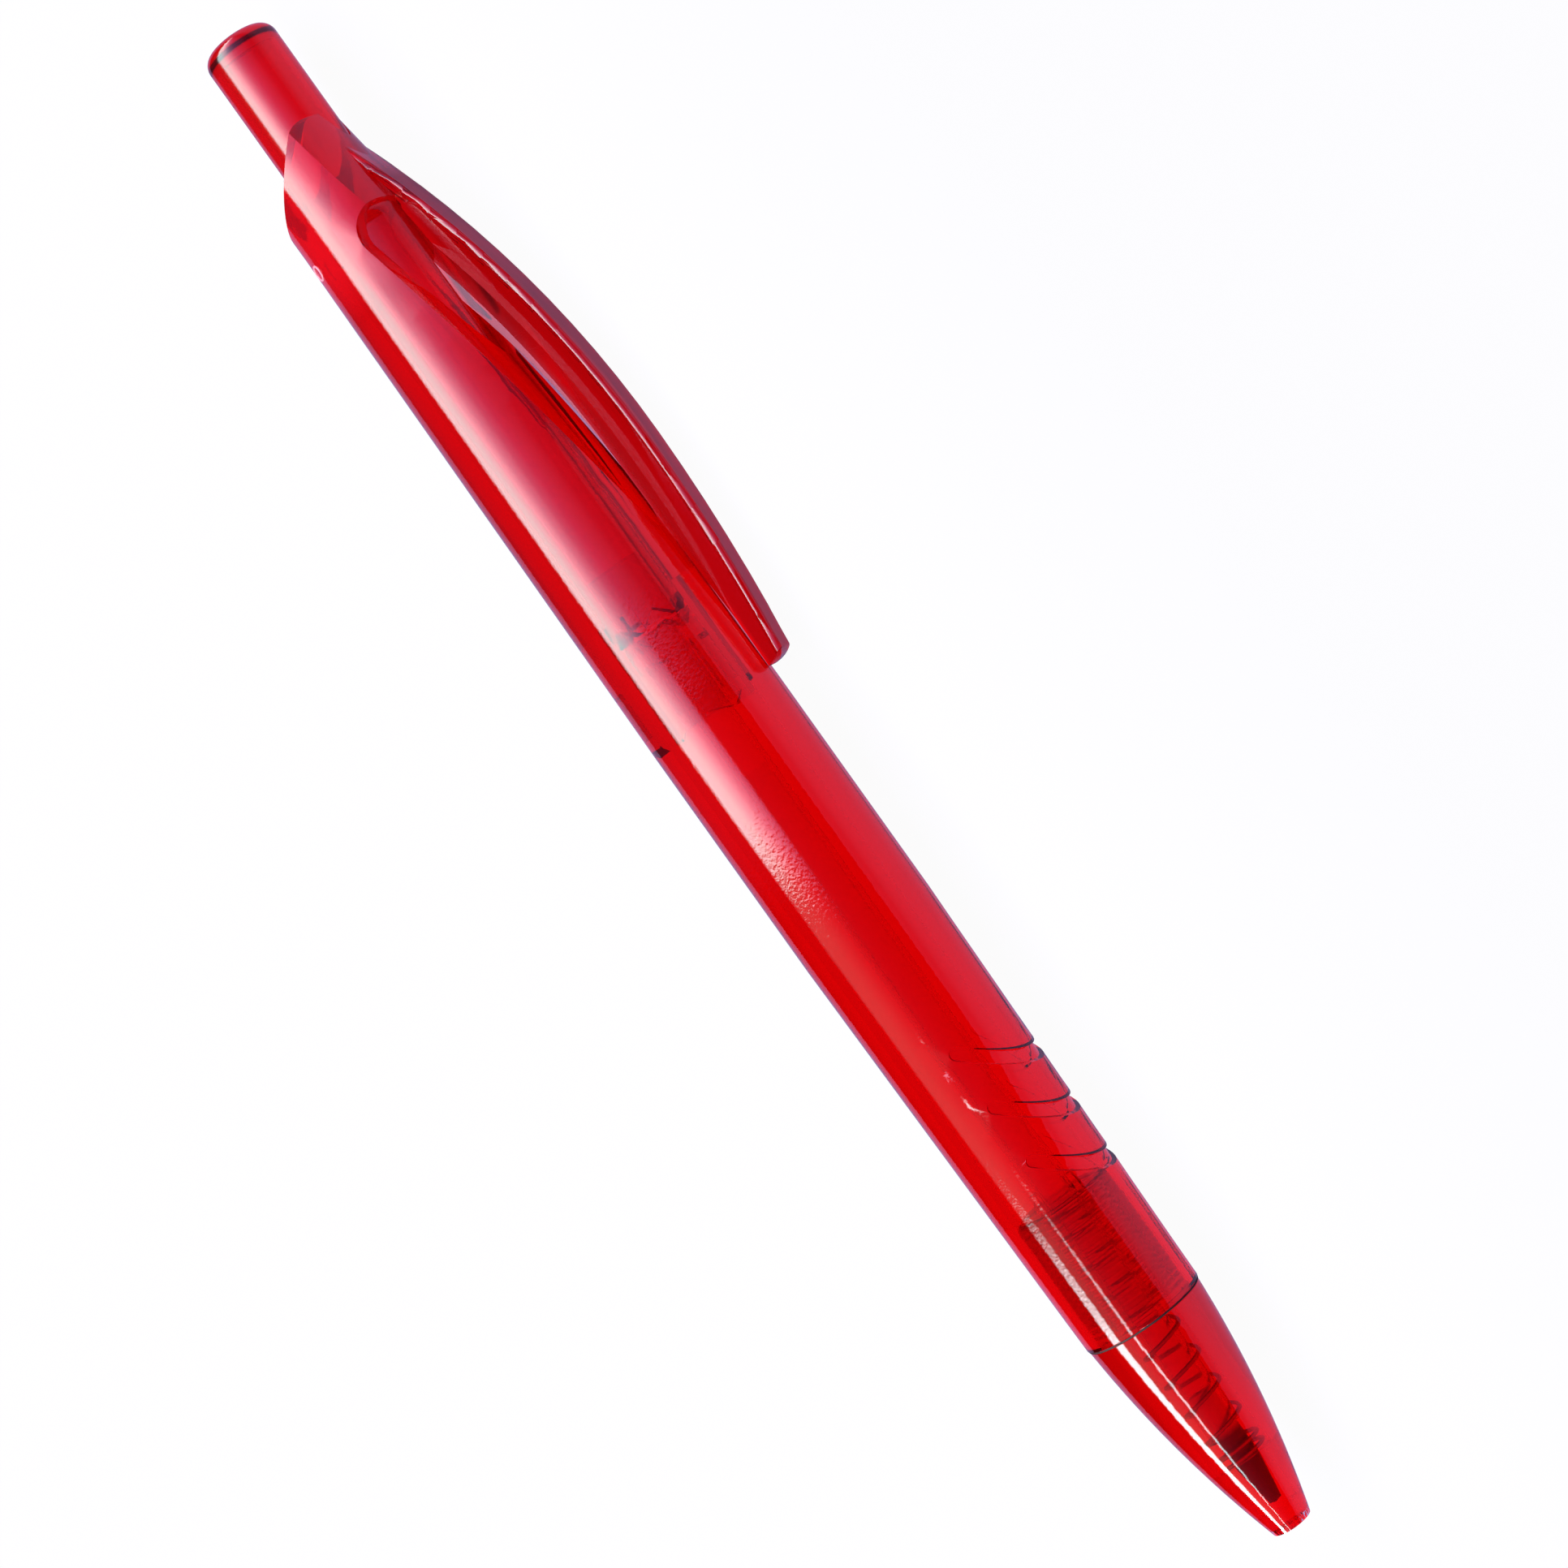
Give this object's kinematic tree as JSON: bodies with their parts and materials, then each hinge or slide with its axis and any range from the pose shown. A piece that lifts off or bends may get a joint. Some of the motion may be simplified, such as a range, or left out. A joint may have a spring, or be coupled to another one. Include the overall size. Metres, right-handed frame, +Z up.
{
  "type": "pushbutton ballpoint pen",
  "caption": "Translucent red click pen with a one-piece bowed clip, slanted collar, grooved grip, tapered nose, spring-loaded push button and refill inside.",
  "frame": {"origin": "centre of the pen's box, on the surface that it lies on", "axes": "+X along the pen from the writing point to the push button, +Z up; the pen lies on its barrel and on its clip, which points to -Y and a little down"},
  "size_m": [0.14, 0.0144, 0.0114],
  "materials": {
    "barrel_plastic": "translucent red moulded polystyrene, polished",
    "button_plastic": "translucent red moulded plastic, polished",
    "rotor_plastic": "translucent red moulded acetal",
    "spring_steel": "drawn spring wire",
    "tube_plastic": "clear extruded polypropylene",
    "ink": "red paste ink",
    "tip_metal": "turned nickel silver",
    "ball_metal": "ground tungsten carbide"
  },
  "bodies": {
    "barrel": {"barrel": "barrel_plastic", "nose_cone": "barrel_plastic", "return_spring": "spring_steel"},
    "button": {"push_button": "button_plastic"},
    "refill": {"ink_tube": "tube_plastic", "ink": "ink", "writing_tip": "tip_metal"},
    "rotor": {"cam_rotor": "rotor_plastic"},
    "writing_ball": {"ball": "ball_metal"}
  },
  "joints": [
    {"name": "button_press", "type": "slide", "parent": "barrel", "child": "button", "axis": [-1, 0, 0], "range_m": [0, 0.0068], "stiffness_N_per_m": 300, "springref_m": -0.005, "deforming": ["return_spring"]},
    {"name": "refill_slide", "type": "slide", "parent": "barrel", "child": "refill", "axis": [-1, 0, 0], "range_m": [0, 0.0068]},
    {"name": "rotor_turn", "type": "hinge", "parent": "refill", "child": "rotor", "pos_m": [0, 0.00147, 0.00572], "axis": [-1, 0, 0], "range_deg": [0, 28]},
    {"name": "ball_roll", "type": "hinge", "parent": "refill", "child": "writing_ball", "pos_m": [-0.06707, 0.00147, 0.00572], "axis": [0, 1, 0], "continuous": true}
  ],
  "couplings": [
    {"joint": "refill_slide", "follows": "button_press", "ratio": 1},
    {"joint": "rotor_turn", "follows": "button_press", "rad_per_m": 71.86}
  ]
}
